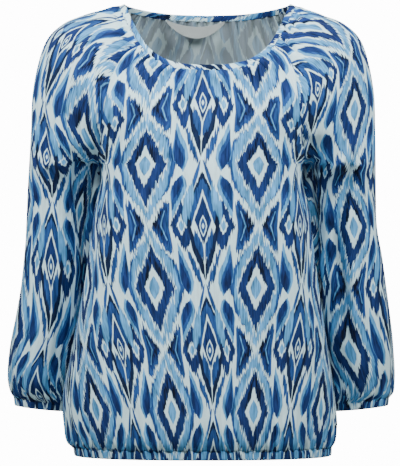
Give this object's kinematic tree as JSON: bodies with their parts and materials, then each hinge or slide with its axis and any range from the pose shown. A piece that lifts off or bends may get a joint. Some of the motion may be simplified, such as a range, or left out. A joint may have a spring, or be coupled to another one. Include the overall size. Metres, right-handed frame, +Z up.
{
  "type": "blouse",
  "caption": "Woven raglan blouse with a gathered round neck, three-quarter bishop sleeves and elastic casings at hem and cuffs, filled out as worn.",
  "frame": {"origin": "midway between the two shoulder points, at the top edge of the neckline, where the wearer's shoulders hold the blouse", "axes": "+Z up, -Y to the front, +X to the wearer's left"},
  "size_m": [0.5472, 0.268, 0.6343],
  "materials": {
    "printed_cloth": "matte",
    "printed_band": "matte",
    "label_satin": "satin"
  },
  "bodies": {
    "root": {"front": "printed_cloth", "back": "printed_cloth", "sleeve_left": "printed_cloth", "sleeve_right": "printed_cloth", "neck_binding": "printed_band", "hem_casing": "printed_band", "cuff_casing_left": "printed_band", "cuff_casing_right": "printed_band", "label": "label_satin"}
  },
  "joints": []
}
